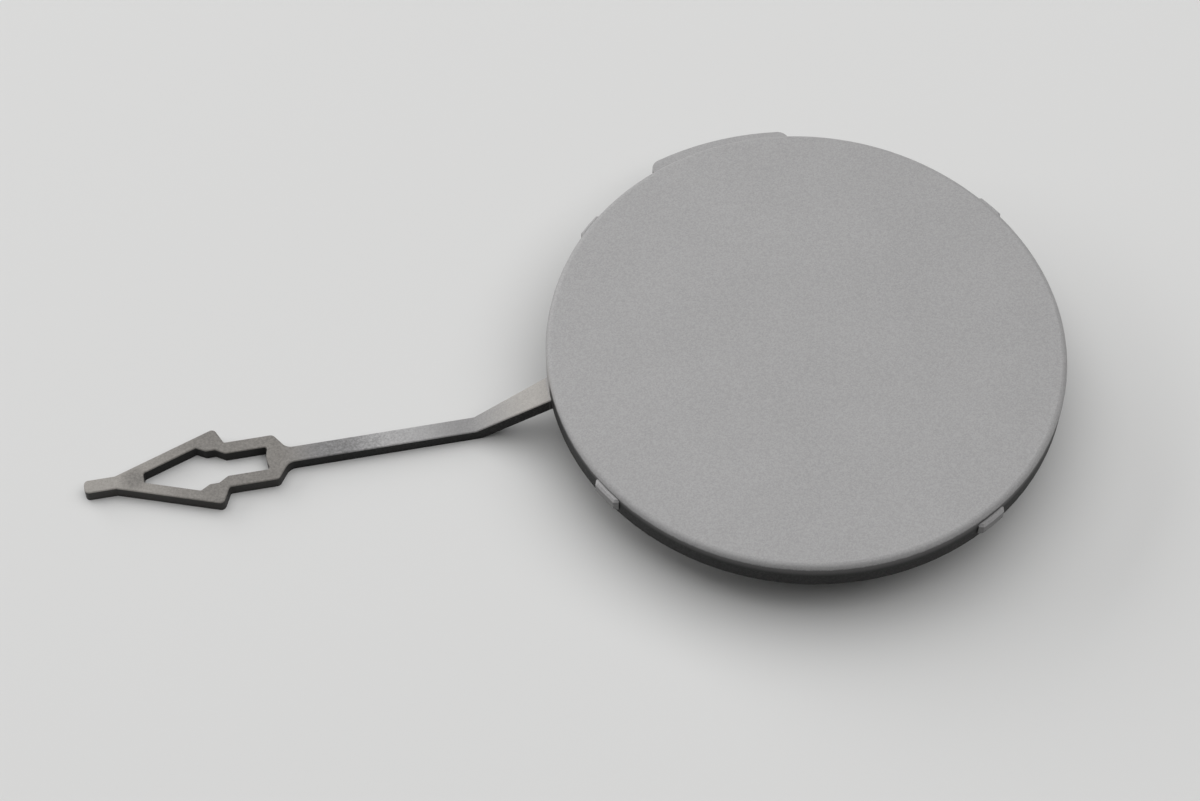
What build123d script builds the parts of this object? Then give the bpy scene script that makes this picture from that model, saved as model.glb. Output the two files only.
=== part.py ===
from build123d import *
from math import asin, atan2, cos, degrees, sqrt, tan
import os

# Round tow-eye cover for a bumper: a crowned cap, its tether strap and a hollow arrow anchor,
# moulded as one piece. Millimetres and degrees. The cap's axis is Z, with the outer face up and
# the foot of the collar at Z = 0. The strap runs from the cap towards -X. Angles about the cap's
# axis are counted from +X towards +Y.

# Cap
disc_diameter = 70.0
cap_height = 12.1
skin_thickness = 2.4
edge_round = 0.8
crown_radius_tight = 500.0
crown_radius_wide = 1020.0

# Turned-down rim
lip_depth = 4.9
lip_wall = 2.0

# Collar and ribs under the cap
collar_gap = 3.2
collar_wall = 1.6
collar_draft = 0.2
rib_wall = 1.2
rib_height = 1.6

# Tongue that hooks behind the bumper, beyond the rim
tongue_angle = 96.0
tongue_span = 21.3
tongue_reach = 3.8
tongue_thickness = 2.0
tongue_corner = 1.6
tongue_lead = 0.6

# Snap finger in the collar, opposite the tongue
finger_width = 9.0
finger_slit = 1.5
finger_slit_height = 6.5
catch_foot = 1.6
catch_reach = 1.4
catch_ramp = 1.8
catch_shoulder = 1.0

# Centring nubs on the rim's side wall
nub_angles = (30.5, 134.5, 209.5, 300.0)
nub_width = 4.5
nub_height = 2.0
nub_reach = 0.65
nub_lead = 0.3
nub_corner = 0.5
nub_bevel = 0.3
nub_above_lip = 1.0

# Tether strap
strap_offset = 1.2
strap_flat_length = 25.6
strap_width = 2.4
strap_thickness = 1.9
strap_root_width = 3.8
strap_lap = 0.6
strap_bend_gap = 10.2
strap_bend_radius = 1.0
strap_edge_round = 0.2

# Arrow anchor at the strap's end, from its tip back to the strap
stub_length = 4.2
stub_width = 2.0
head_length = 13.85
barb_width = 12.0
barb_lean = 1.1
loop_length = 7.75
loop_width = 7.1
neck_length = 1.6
tip_round = 0.6
barb_round = 0.7
loop_round = 0.8
neck_round = 1.6
arrow_round = 0.35

# Walls round the arrow's hollow
nose_length = 3.8
arm_wall = 1.55
barb_pad = 2.75
loop_wall = 1.8
step_length = 1.3
step_depth = 0.85
end_wall = 0.9
end_bulge = 0.4

# Worked out from the values above
disc_radius = disc_diameter / 2
collar_radius = disc_radius - lip_wall - collar_gap
collar_middle = collar_radius - collar_wall / 2
lip_foot = cap_height - lip_depth
root_sink = skin_thickness / 2
finger_angle = tongue_angle + 180
barb_at = stub_length + head_length
loop_end = barb_at + loop_length
neck_end = loop_end + neck_length
bend_at = neck_end + strap_flat_length
tether_length = bend_at + strap_bend_gap + disc_radius

# How far cutting shapes reach past the cap, and the least upward tilt of a face that counts as upper
overshoot = 5.0
upward = 0.5


def turn(shape, angle):
    """The shape turned about the cap's axis."""
    return Rot(0, 0, angle) * shape


def ring_piece(section, arc, middle_angle):
    """Solid swept about the cap's axis from a section of (radius, height) points."""
    face = Plane.XZ * make_face(Polyline(*section, close=True))
    return turn(revolve(face, Axis.Z, revolution_arc=arc), middle_angle - arc / 2)


def rod(radius, bottom, top):
    upright = (Align.CENTER, Align.CENTER, Align.MIN)
    return Pos(0, 0, bottom) * Cylinder(radius, top - bottom, align=upright)


def space_under_crown(drop):
    """Everything below the crowned surface that lies this far under the outer face.

    The surface is a torus patch: it curves more tightly across the tongue's direction than along it.
    """
    reach = disc_radius + overshoot
    arc_centre = cap_height - crown_radius_tight
    edge_height = arc_centre + sqrt((crown_radius_tight - drop) ** 2 - reach**2)
    crown = ThreePointArc((-reach, edge_height), (0, cap_height - drop), (reach, edge_height))
    base = Polyline((reach, edge_height), (reach, -overshoot), (-reach, -overshoot), (-reach, edge_height))
    section = Plane.XZ * make_face([crown, base])
    axis = Axis((0, 0, cap_height - crown_radius_wide), (1, 0, 0))
    half_arc = degrees(asin(reach / (crown_radius_wide - cap_height - overshoot)))
    space = revolve(section.rotate(axis, -half_arc), axis, revolution_arc=2 * half_arc)
    return turn(space, tongue_angle - 90)


def make_cap():
    """Crowned skin with a rounded edge and a turned-down rim."""
    blank = rod(disc_radius, lip_foot, cap_height + overshoot) & space_under_crown(0)
    rim_edges = [edge for edge in blank.edges() if edge.center().Z > lip_foot + edge_round]
    blank = fillet(rim_edges, edge_round)
    core = rod(disc_radius - lip_wall, lip_foot - overshoot, cap_height + overshoot)
    return blank - (core & space_under_crown(skin_thickness))


def make_collar():
    """Drafted ring under the skin, with a finger cut free on the side opposite the tongue."""
    inner_radius = collar_radius - collar_wall
    section = [
        (inner_radius, 0),
        (collar_radius, 0),
        (collar_radius + collar_draft, cap_height),
        (inner_radius - collar_draft, cap_height),
    ]
    collar = ring_piece(section, 360, 0) & space_under_crown(root_sink)
    slit_length = 2 * (collar_wall + 2 * collar_draft)
    slit = Pos(collar_middle, 0, 0) * Box(slit_length, finger_slit, 2 * finger_slit_height)
    slit_angle = degrees(atan2((finger_width + finger_slit) / 2, collar_radius))
    for side in (-1, 1):
        collar -= turn(slit, finger_angle + side * slit_angle)
    return collar


def make_catch():
    """Wedge on the outside of the snap finger: a ramp below and a steeper shoulder above."""
    nose = catch_foot + catch_ramp
    top = nose + catch_shoulder
    section = [
        (collar_middle, catch_foot),
        (collar_radius, catch_foot),
        (collar_radius + catch_reach, nose),
        (collar_radius, top),
        (collar_middle, top),
    ]
    return ring_piece(section, degrees(finger_width / collar_radius), finger_angle)


def make_ribs():
    """Low crossed ribs on the underside, inside the collar."""
    bar = Box(2 * collar_middle, rib_wall, 2 * cap_height)
    cross = bar + turn(bar, 90)
    band = space_under_crown(root_sink) - space_under_crown(skin_thickness + rib_height)
    return turn(cross, tongue_angle) & band


def make_tongue():
    """Wide lip level with the rim's lower edge, carried by the collar."""
    outer = disc_radius + tongue_reach
    bottom = lip_foot - tongue_thickness
    section = [
        (collar_middle, bottom),
        (outer - tongue_lead, bottom),
        (outer, bottom + tongue_lead),
        (outer, lip_foot),
        (collar_middle, lip_foot),
    ]
    tongue = ring_piece(section, degrees(tongue_span / outer), tongue_angle)
    upright_edges = tongue.edges().filter_by(Axis.Z)
    return fillet(upright_edges.sort_by_distance((0, 0, 0))[-2:], tongue_corner)


def make_nub(angle):
    """Small nub on the rim's side wall, with a lead-in below, slanted ends and a bevelled top."""
    bottom = lip_foot + nub_above_lip
    outer = disc_radius + nub_reach
    root = disc_radius - lip_wall / 2
    section = [
        (root, bottom),
        (outer - nub_lead, bottom),
        (outer, bottom + nub_lead),
        (outer, bottom + nub_height),
        (root, bottom + nub_height),
    ]
    nub = ring_piece(section, degrees(nub_width / disc_radius), angle)
    upright_edges = nub.edges().filter_by(Axis.Z)
    nub = chamfer(upright_edges.sort_by_distance((0, 0, 0))[-2:], nub_corner)
    top_edges = nub.faces().sort_by(Axis.Z)[-1].edges()
    return chamfer(top_edges.sort_by_distance((0, 0, cap_height))[1:], nub_bevel)


def both_sides(half):
    """Closed outline from the points on one side of the strap's middle line."""
    return half + [(x, -y) for x, y in reversed(half)]


def make_anchor_opening():
    """Hollow inside the arrow: a wedge between the arms that steps down to the loop's waist."""
    head_slope = atan2((barb_width - stub_width) / 2, head_length)
    wedge_start = stub_length + nose_length
    wedge_end = barb_at - barb_pad
    arm_inset = stub_width / 2 - arm_wall / cos(head_slope)
    wedge_nose = arm_inset + nose_length * tan(head_slope)
    wedge_width = arm_inset + (wedge_end - stub_length) * tan(head_slope)
    waist_at = barb_at + barb_lean
    waist = loop_width / 2 - loop_wall
    opening_end = loop_end - end_wall
    half = [
        (opening_end, waist),
        (waist_at, waist),
        (waist_at - step_length, waist + step_depth),
        (wedge_end + step_length, waist + step_depth),
        (wedge_end, wedge_width),
        (wedge_start, wedge_nose),
    ]
    outline = both_sides(half)
    bulged_end = ThreePointArc(outline[-1], (opening_end - end_bulge, 0), outline[0])
    opening = make_face([Polyline(*outline), bulged_end])
    return fillet(opening.vertices(), arrow_round)


def make_tether_plan():
    """Plan of the arrow and the strap: tip at the origin, running along +X to the collar."""
    root = tether_length - collar_middle
    flare = (strap_root_width - strap_width) / strap_bend_gap
    half = [
        (0, stub_width / 2),
        (stub_length, stub_width / 2),
        (barb_at, barb_width / 2),
        (barb_at + barb_lean, loop_width / 2),
        (loop_end, loop_width / 2),
        (neck_end, strap_width / 2),
        (bend_at, strap_width / 2),
        (root, (strap_width + flare * (root - bend_at)) / 2),
    ]
    rounds = [tip_round, arrow_round, barb_round, arrow_round, loop_round, neck_round]
    plan = make_face(Polyline(*both_sides(half), close=True))
    for (x, y), radius in zip(half, rounds):
        for corner in ((x, y), (x, -y)):
            plan = fillet(plan.vertices().sort_by_distance(corner)[0], radius)
    return plan - make_anchor_opening()


def make_strap_profile():
    """Side view of the strap: flat on the ground, a bend, a rise, and a level root under the cap."""
    bend = -(disc_radius + strap_bend_gap)
    rim_top = lip_foot + strap_lap
    slope = atan2(rim_top - strap_thickness, strap_bend_gap)
    root_start = bend + lip_foot / tan(slope)
    mitre = strap_thickness * tan(slope / 2)
    root_top = lip_foot + strap_thickness
    upper = [
        (-tether_length, strap_thickness),
        (bend, strap_thickness),
        (root_start, root_top),
        (-collar_middle, root_top),
    ]
    lower = [
        (-collar_middle, lip_foot),
        (root_start + mitre, lip_foot),
        (bend + mitre, 0),
        (-tether_length, 0),
    ]
    profile = make_face(Polyline(*(upper + lower), close=True))
    inner_bend = profile.vertices().sort_by_distance(upper[1])[0]
    profile = fillet(inner_bend, strap_bend_radius)
    outer_bend = profile.vertices().sort_by_distance(lower[2])[0]
    return fillet(outer_bend, strap_bend_radius + strap_thickness)


def make_tether():
    """Arrow and strap: the plan's outline cut to the strap's side profile, with softened upper edges."""
    slab = extrude(Plane.XZ * make_strap_profile(), barb_width, both=True)
    plan = Pos(-tether_length, 0, 0) * make_tether_plan()
    tether = extrude(plan, cap_height) & slab
    upper_faces = [face for face in tether.faces() if face.normal_at().Z > upward]
    outline = []
    for face in upper_faces:
        for edge in face.edges():
            owners = sum(edge in other.edges() for other in upper_faces)
            if owners == 1 and edge.center().X < -disc_radius:
                outline.append(edge)
    tether = fillet(outline, strap_edge_round)
    return Pos(0, strap_offset, 0) * tether


cover = make_tether() + make_collar() + make_cap() + make_ribs() + make_catch() + make_tongue()
for nub_angle in nub_angles:
    cover += make_nub(nub_angle)

os.makedirs("parts", exist_ok=True)
export_step(cover, "parts/tow_hook_cover.step")
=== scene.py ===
import bpy
from math import cos, radians, sin
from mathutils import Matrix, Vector


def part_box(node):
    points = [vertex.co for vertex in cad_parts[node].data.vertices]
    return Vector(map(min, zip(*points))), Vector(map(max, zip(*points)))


# Looks of a round tow-eye cover: satin silver paint sprayed from above over dark moulded plastic.
# Metres, in the CAD frame: the cap's axis is Z, the painted face is up, the strap runs towards -X.
# A pair of places is where a change starts and where it ends.

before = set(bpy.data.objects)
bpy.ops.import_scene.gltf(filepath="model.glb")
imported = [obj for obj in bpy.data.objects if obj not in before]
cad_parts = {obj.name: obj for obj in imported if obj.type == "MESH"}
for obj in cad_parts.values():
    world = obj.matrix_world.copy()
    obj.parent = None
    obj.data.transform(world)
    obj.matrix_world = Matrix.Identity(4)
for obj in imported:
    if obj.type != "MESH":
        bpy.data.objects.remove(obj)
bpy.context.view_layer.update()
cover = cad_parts["tow_hook_cover"]
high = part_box("tow_hook_cover")[1]

# Places on the cover: across the cap, then up it
cap_radius = high.x
past_rim = (cap_radius + 0.00005, cap_radius + 0.0002)
inside_rim = (cap_radius - 0.0001, cap_radius - 0.0005)
strap_half = (0.0, -cap_radius / 2)
strap_axis = 0.0012
under_skin = high.z - 0.0024
skin_to_hollow = (under_skin + 0.0003, under_skin)
rim_edge = high.z - 0.0016
wall_to_edge = (rim_edge - 0.0014, rim_edge)

# Stretches of the strap and its anchor over which the paint changes, from the cap outwards, as X. Over the
# rise the paint is lighter and warmer as a painted highlight, and over the bend darker as painted shade
root = (-0.0345, -0.0355)
rise = (-0.0370, -0.0475)
bend = (-0.0470, -0.0540)
dry_spray_start = (-0.0470, -0.0620)
thinning = (-0.0562, -0.0645)
dry_spray_end = (-0.0640, -0.0690)
mist = (-0.0660, -0.0720)
neck = (-0.0688, -0.0728)
arms = (-0.0810, -0.0945)

# Web where the anchor's arms meet, and the distance from it over which paint is lost
web = Vector((-0.0915, strap_axis, 0.0))
web_reach = (0.0025, 0.0005)

# Stretch of the rim wall by the strap's root that is given paint as painted light, lighter where light
# falls on it: along Y, from none to full and back, and up Z
root_light_start = (-0.0004, 0.0012)
root_light_end = (0.0160, 0.0090)
root_light_foot = (0.0068, 0.0086)

# Upward part of a face's normal at which paint begins to hold and at which it is full, for the spray itself
# and for its stray mist, and how far droplets shift that part
spray_limits = (-0.04, 0.42)
stray_limits = (-0.55, -0.05)
droplet_shift = 0.2

# Sideways part of a face's normal times its distance from the strap's axis: below zero, it looks inwards
inward_to_outward = (-0.0005, 0.0005)

# Shares of paint on faces that the spray only brushed, and on the rim wall by the strap's root a share that
# is painted light. The anchor's sides have one inwards and one outwards
beside_rim_paint = 0.65
over_edge_paint = 0.30
by_root_light_share = 0.85
anchor_side_paint = (0.021, 0.14)

# Shares of paint lost and regained along the strap and its anchor
thin_loss = 0.415
neck_loss = 0.075
web_loss = 0.25
arms_gain = 0.26

# How much lighter or darker the paint is along the strap, with a painted highlight on the rise and painted
# shade by the bend, from speck to speck, and from flake to flake
strap_gain = 0.03
rise_highlight_gain = 0.27
# Painted shade: the strap is darker over the bend, by the cap
bend_shade_loss = 0.27
dry_spray_contrast = 0.20
flake_contrast = 0.19

# Patterns in paint and plastic: the size of their lumps, and how much finer detail they hold
droplet_pattern = (0.0003, 3.0)
dry_spray_pattern = (0.00033, 2.0)
cloud_pattern = (0.012, 3.0)
peel_pattern = (0.0014, 1.0)
grain_pattern = (0.00012, 2.0)
flake_size = 0.00016

# Values between which most of such a pattern lies, and what streaks and clouds multiply by over them
pattern_span = (0.3, 0.7)
plastic_patch_span = (0.35, 0.65)
streak_factors = (0.85, 1.15)
cloud_factors = (0.985, 1.015)

# Gloss and bump. The bump changes from plastic to paint as the share of paint passes the film's limits
satin_roughness = (0.40, 0.48)
matt_roughness = (0.50, 0.58)
paint_metallic = 0.03
cover_specular = 0.16
film_limits = (0.2, 0.9)
grain_heights = (0.35, 0.04)
bump_strength = 0.35
bump_distance = 0.00002

# Paint and plastic, as linear colours, and the share of the mist's warm tint painted on the strap's rise at
# its root as a painted warm highlight
paint_colour = (0.341, 0.337, 0.338)
mist_colour = (0.385, 0.365, 0.340)
plastic_colour = (0.0095, 0.0096, 0.0095)
pale_plastic_colour = (0.0125, 0.0126, 0.0123)
rise_highlight_warmth = 0.8

# Floor and surroundings
floor_colour = (0.66, 0.66, 0.655)
floor_roughness = 0.9
floor_specular = 0.1
floor_reach = 6.0
surround_strength = 0.06

# Camera, fitted to the photograph: degrees, with the lens and its sensor in millimetres
camera_place = Vector((-0.06585, -0.19662, 0.31689))
camera_tilt = 32.67
camera_heading = -10.84
camera_lens = 82.32
camera_sensor = 36.0
camera_near = 0.01


class Nodes:
    """Short calls that add nodes to one material's tree and return the output to use next."""

    def __init__(self, tree):
        self.tree = tree

    def add(self, kind, inputs=(), **settings):
        """New node itself, with its settings, and its inputs linked or set."""
        node = self.tree.nodes.new(kind)
        for name, value in settings.items():
            setattr(node, name, value)
        for key, value in dict(inputs).items():
            if isinstance(value, bpy.types.NodeSocket):
                self.tree.links.new(value, node.inputs[key])
            else:
                node.inputs[key].default_value = value
        return node

    def math(self, operation, first, *others):
        """The operation on two values, or on each further value in turn."""
        for other in others:
            node = self.add("ShaderNodeMath", {0: first, 1: other}, operation=operation)
            first = node.outputs[0]
        return first

    def fade(self, value, start, end, low=0.0, high=1.0):
        """From low to high as the value goes from start to end, smoothly, and level outside."""
        inputs = {"Value": value, 1: start, 2: end, 3: low, 4: high}
        node = self.add("ShaderNodeMapRange", inputs, interpolation_type="SMOOTHSTEP")
        return node.outputs[0]

    def noise(self, place, size, detail):
        """Soft random pattern from 0 to 1, whose lumps are about this large."""
        inputs = {"Vector": place, "Scale": 1 / size, "Detail": detail}
        return self.add("ShaderNodeTexNoise", inputs).outputs["Fac"]

    def centred(self, pattern):
        """A pattern from 0 to 1, moved to lie about 0."""
        return self.math("SUBTRACT", pattern, 0.5)

    def parts(self, vector):
        """X, Y and Z of a vector."""
        return self.add("ShaderNodeSeparateXYZ", {0: vector}).outputs[:3]

    def length(self, x, y):
        """Length of the level vector with these parts."""
        square = self.math("ADD", self.math("MULTIPLY", x, x), self.math("MULTIPLY", y, y))
        return self.add("ShaderNodeMath", {0: square}, operation="SQRT").outputs[0]

    def mix(self, share, first, second):
        """Mixed colour. Inputs 6 and 7 of the node are its two colours, and output 2 is the result."""
        node = self.add("ShaderNodeMix", {0: share}, data_type="RGBA")
        for socket, value in ((node.inputs[6], first), (node.inputs[7], second)):
            if isinstance(value, bpy.types.NodeSocket):
                self.tree.links.new(value, socket)
            else:
                socket.default_value = (*value, 1.0)
        return node.outputs[2]

    def feed(self, shader, **values):
        """Links each value to the shader's input of that name, with _ for a space."""
        for name, value in values.items():
            self.tree.links.new(value, shader.inputs[name.replace("_", " ")])


def new_material(name):
    """New material, the calls that add its nodes, and its shader."""
    material = bpy.data.materials.new(name)
    material.use_nodes = True
    return material, Nodes(material.node_tree), material.node_tree.nodes["Principled BSDF"]


def paint_cover(nodes, place, normal):
    """How well paint covers each spot: full on faces that look up, none below and under the cap, and on the
    rim wall by the strap's root paint that is painted light.
    """
    x, y, z = nodes.parts(place)
    radius = nodes.length(x, y)
    droplets = nodes.centred(nodes.noise(place, *droplet_pattern))
    facing = nodes.math("ADD", normal[2], nodes.math("MULTIPLY", droplets, droplet_shift))
    direct = nodes.fade(facing, *spray_limits)

    beside_rim = nodes.fade(radius, *past_rim, 0.0, beside_rim_paint)
    beside_rim = nodes.math("MULTIPLY", beside_rim, nodes.fade(x, *root, 1.0, 0.0))
    over_edge = nodes.fade(z, *wall_to_edge, 0.0, over_edge_paint)
    # Rim wall by the strap's root given paint as painted light, standing in for light from the back-left
    by_root_light = nodes.fade(radius, *past_rim, by_root_light_share, 0.0)
    by_root_light = nodes.math("MULTIPLY", by_root_light, nodes.fade(x, *strap_half), nodes.fade(z, *root_light_foot),
                         nodes.fade(y, *root_light_start), nodes.fade(y, *root_light_end))
    outward = nodes.math("MULTIPLY", normal[1], nodes.math("SUBTRACT", y, strap_axis))
    on_anchor = nodes.fade(outward, *inward_to_outward, *anchor_side_paint)
    on_anchor = nodes.math("MULTIPLY", on_anchor, nodes.fade(x, *neck))
    # Stray paint, together with the painted light on the rim wall by the strap's root
    stray_paint_and_root_light = nodes.math("MAXIMUM", beside_rim, over_edge, by_root_light, on_anchor)
    stray_paint_and_root_light = nodes.math("MULTIPLY", stray_paint_and_root_light, nodes.fade(facing, *stray_limits))

    sheltered = nodes.math("MULTIPLY", nodes.fade(radius, *inside_rim), nodes.fade(z, *skin_to_hollow))
    open_air = nodes.math("SUBTRACT", 1.0, sheltered)
    return nodes.math("MULTIPLY", nodes.math("MAXIMUM", direct, stray_paint_and_root_light), open_air)


def paint_left(nodes, place):
    """Share of the paint that holds along the strap and its anchor, where the spray runs out."""
    x, y, _ = nodes.parts(place)
    from_web = nodes.length(nodes.math("SUBTRACT", x, web.x), nodes.math("SUBTRACT", y, web.y))
    loss = nodes.math("ADD", nodes.fade(x, *thinning, 0.0, thin_loss), nodes.fade(x, *neck, 0.0, neck_loss),
                      nodes.fade(from_web, *web_reach, 0.0, web_loss))
    loss = nodes.math("SUBTRACT", loss, nodes.fade(x, *arms, 0.0, arms_gain))
    streaks = nodes.fade(nodes.noise(place, *droplet_pattern), *pattern_span, *streak_factors)
    return nodes.math("SUBTRACT", 1.0, nodes.math("MULTIPLY", loss, streaks))


def paint_tone(nodes, place, sparkle, cloud):
    """Lightness of the paint: flakes and faint clouds all over; along the strap specks, slow changes, a
    painted highlight on the rise and painted shade by the bend.
    """
    x = nodes.parts(place)[0]
    specks = nodes.noise(place, *dry_spray_pattern)
    specks = nodes.fade(specks, *pattern_span, -dry_spray_contrast, dry_spray_contrast)
    specks = nodes.math("MULTIPLY", specks, nodes.fade(x, *dry_spray_start),
                        nodes.fade(x, *dry_spray_end, 1.0, 0.0))
    # Along the strap: a slight overall lift, dry-spray specks, a painted highlight over the rise and
    # painted shade over the bend
    along = nodes.math("ADD", strap_gain, specks, nodes.fade(x, *rise, rise_highlight_gain, 0.0),
                       nodes.fade(x, *bend, -bend_shade_loss, 0.0))
    along = nodes.math("ADD", 1.0, nodes.math("MULTIPLY", along, nodes.fade(x, *root)))
    flakes = nodes.math("MULTIPLY", nodes.centred(sparkle), flake_contrast)
    flakes = nodes.math("ADD", 1.0, flakes)
    return nodes.math("MULTIPLY", along, flakes, nodes.fade(cloud, *pattern_span, *cloud_factors))


def cover_material():
    """Satin silver paint with flakes and a faint peel, over dark plastic with a fine grain."""
    material, nodes, shader = new_material("silver_paint_on_plastic")
    coordinates = nodes.add("ShaderNodeTexCoord")
    place = coordinates.outputs["Object"]
    normal = nodes.parts(coordinates.outputs["Normal"])
    x = nodes.parts(place)[0]
    covered = nodes.math("MULTIPLY", paint_cover(nodes, place, normal), paint_left(nodes, place))

    voronoi = nodes.add("ShaderNodeTexVoronoi", {"Vector": place, "Scale": 1 / flake_size})
    sparkle = nodes.add("ShaderNodeSeparateColor", {0: voronoi.outputs["Color"]}).outputs[0]
    cloud = nodes.noise(place, *cloud_pattern)
    grain = nodes.noise(place, *grain_pattern)
    # The strap's rise gets a warm tint as a painted warm highlight; the anchor's warm tint is the mist's
    # own colour
    lit_rise = nodes.math("MULTIPLY", nodes.fade(x, *root), nodes.fade(x, *rise, rise_highlight_warmth, 0.0))
    warm = nodes.math("MAXIMUM", lit_rise, nodes.fade(x, *mist))
    tone = paint_tone(nodes, place, sparkle, cloud)
    paint = nodes.mix(warm, paint_colour, mist_colour)
    paint = nodes.add("ShaderNodeVectorMath", {0: paint, "Scale": tone}, operation="SCALE").outputs[0]
    plastic = nodes.mix(nodes.fade(cloud, *plastic_patch_span), plastic_colour, pale_plastic_colour)

    matt = nodes.fade(grain, *pattern_span, *matt_roughness)
    satin = nodes.fade(sparkle, 0.0, 1.0, *satin_roughness)
    roughness = nodes.add("ShaderNodeMix", {0: covered, 2: matt, 3: satin}).outputs[0]
    peel = nodes.math("MULTIPLY", nodes.noise(place, *peel_pattern), nodes.fade(covered, *film_limits))
    bare = nodes.math("MULTIPLY", grain, nodes.fade(covered, *film_limits, *grain_heights))
    height = nodes.math("ADD", peel, bare)
    bump_inputs = {"Height": height, "Strength": bump_strength, "Distance": bump_distance}
    bump = nodes.add("ShaderNodeBump", bump_inputs)
    nodes.feed(shader, Base_Color=nodes.mix(covered, plastic, paint), Roughness=roughness,
               Metallic=nodes.math("MULTIPLY", covered, paint_metallic), Normal=bump.outputs[0])
    shader.inputs["Specular IOR Level"].default_value = cover_specular
    return material


def dress_cover():
    """Puts the material on the cover, in place of the frame's plain one."""
    cover.data.materials.clear()
    cover.data.materials.append(cover_material())


def make_floor():
    """Large pale floor at the height of the cover's foot."""
    material, _, shader = new_material("pale_floor")
    shader.inputs["Base Color"].default_value = (*floor_colour, 1.0)
    shader.inputs["Roughness"].default_value = floor_roughness
    shader.inputs["Specular IOR Level"].default_value = floor_specular
    corners = [(x * floor_reach, y * floor_reach, 0) for x, y in ((-1, -1), (1, -1), (1, 1), (-1, 1))]
    mesh = bpy.data.meshes.new("floor")
    mesh.from_pydata(corners, [], [(0, 1, 2, 3)])
    mesh.materials.append(material)
    floor = bpy.data.objects.new("floor", mesh)
    bpy.context.scene.collection.objects.link(floor)


def make_light(name, heading, height, distance, width, depth, power):
    """Soft panel of light that looks at the cap. Heading and height are degrees, from +X and the floor."""
    lamp = bpy.data.lights.new(name, "AREA")
    lamp.shape = "RECTANGLE"
    lamp.size = width
    lamp.size_y = depth
    lamp.energy = power
    level = distance * cos(radians(height))
    place = Vector((level * cos(radians(heading)), level * sin(radians(heading)), 0.0))
    place.z = distance * sin(radians(height))
    light = bpy.data.objects.new(name, lamp)
    light.location = place
    light.rotation_euler = (-place).to_track_quat("-Z", "Y").to_euler()
    bpy.context.scene.collection.objects.link(light)


def light_scene():
    """Large softbox high behind the cap, a low panel on the strap's side, and dim white surroundings."""
    world = bpy.data.worlds.new("studio")
    world.use_nodes = True
    background = world.node_tree.nodes["Background"]
    background.inputs["Color"].default_value = (1.0, 1.0, 1.0, 1.0)
    background.inputs["Strength"].default_value = surround_strength
    bpy.context.scene.world = world
    make_light("softbox", heading=50, height=76, distance=2.0, width=4.4, depth=2.6, power=64.0)
    make_light("side_panel", heading=140, height=22, distance=2.0, width=2.4, depth=0.9, power=24.0)


def place_camera():
    """Camera at the photograph's viewing angle."""
    data = bpy.data.cameras.new("camera")
    data.sensor_width = camera_sensor
    data.lens = camera_lens
    data.clip_start = camera_near
    camera = bpy.data.objects.new("camera", data)
    camera.location = camera_place
    camera.rotation_euler = (radians(camera_tilt), 0.0, radians(camera_heading))
    bpy.context.scene.collection.objects.link(camera)
    bpy.context.scene.camera = camera


dress_cover()
make_floor()
light_scene()
place_camera()
bpy.context.scene.view_settings.view_transform = "Standard"
